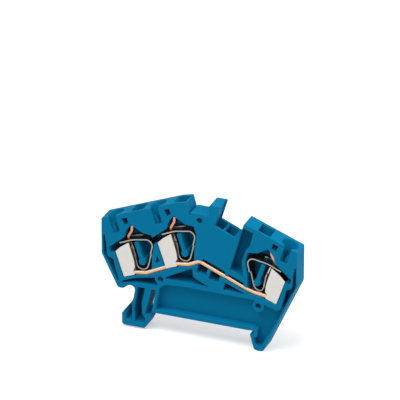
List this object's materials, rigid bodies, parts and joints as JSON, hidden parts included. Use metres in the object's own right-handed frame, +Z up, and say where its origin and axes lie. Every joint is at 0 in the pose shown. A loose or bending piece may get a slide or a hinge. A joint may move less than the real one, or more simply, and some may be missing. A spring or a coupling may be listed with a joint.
{
  "type": "feed-through terminal block",
  "caption": "Slim rail-mounted terminal block with one open side: three spring clamps on a bent current bar join conductors from both ends.",
  "frame": {"origin": "middle of the rail seat: on the top face of the rail's lips, in the middle of the rail and of the block's width", "axes": "+X across the rail towards the end with one clamp, +Y along the rail towards the closed side, +Z up, away from the rail"},
  "size_m": [0.0635, 0.0074, 0.0463],
  "materials": {
    "housing_plastic": "satin moulded polyamide",
    "bar_copper": "tinned copper with bare cut edges",
    "spring_steel": "satin"
  },
  "bodies": {
    "block": {"housing": "housing_plastic", "current_bar": "bar_copper"},
    "clamp_left_outer": {"spring_left_outer": "spring_steel"},
    "clamp_left_inner": {"spring_left_inner": "spring_steel"},
    "clamp_right": {"spring_right": "spring_steel"}
  },
  "joints": [
    {"name": "clamp_left_outer_opens", "type": "hinge", "parent": "block", "child": "clamp_left_outer", "pos_m": [-0.01911, -0.00035, 0.0155], "axis": [0, -1, 0], "range_deg": [0, 12], "stiffness_Nm_per_rad": 0.5, "deforming": ["spring_left_outer"]},
    {"name": "clamp_left_inner_opens", "type": "hinge", "parent": "block", "child": "clamp_left_inner", "pos_m": [-0.00525, -0.00035, 0.02096], "axis": [0, -1, 0], "range_deg": [0, 12], "stiffness_Nm_per_rad": 0.5, "deforming": ["spring_left_inner"]},
    {"name": "clamp_right_opens", "type": "hinge", "parent": "block", "child": "clamp_right", "pos_m": [0.0191, -0.00035, 0.0155], "axis": [0, 1, 0], "range_deg": [0, 12], "stiffness_Nm_per_rad": 0.5, "deforming": ["spring_right"]}
  ]
}
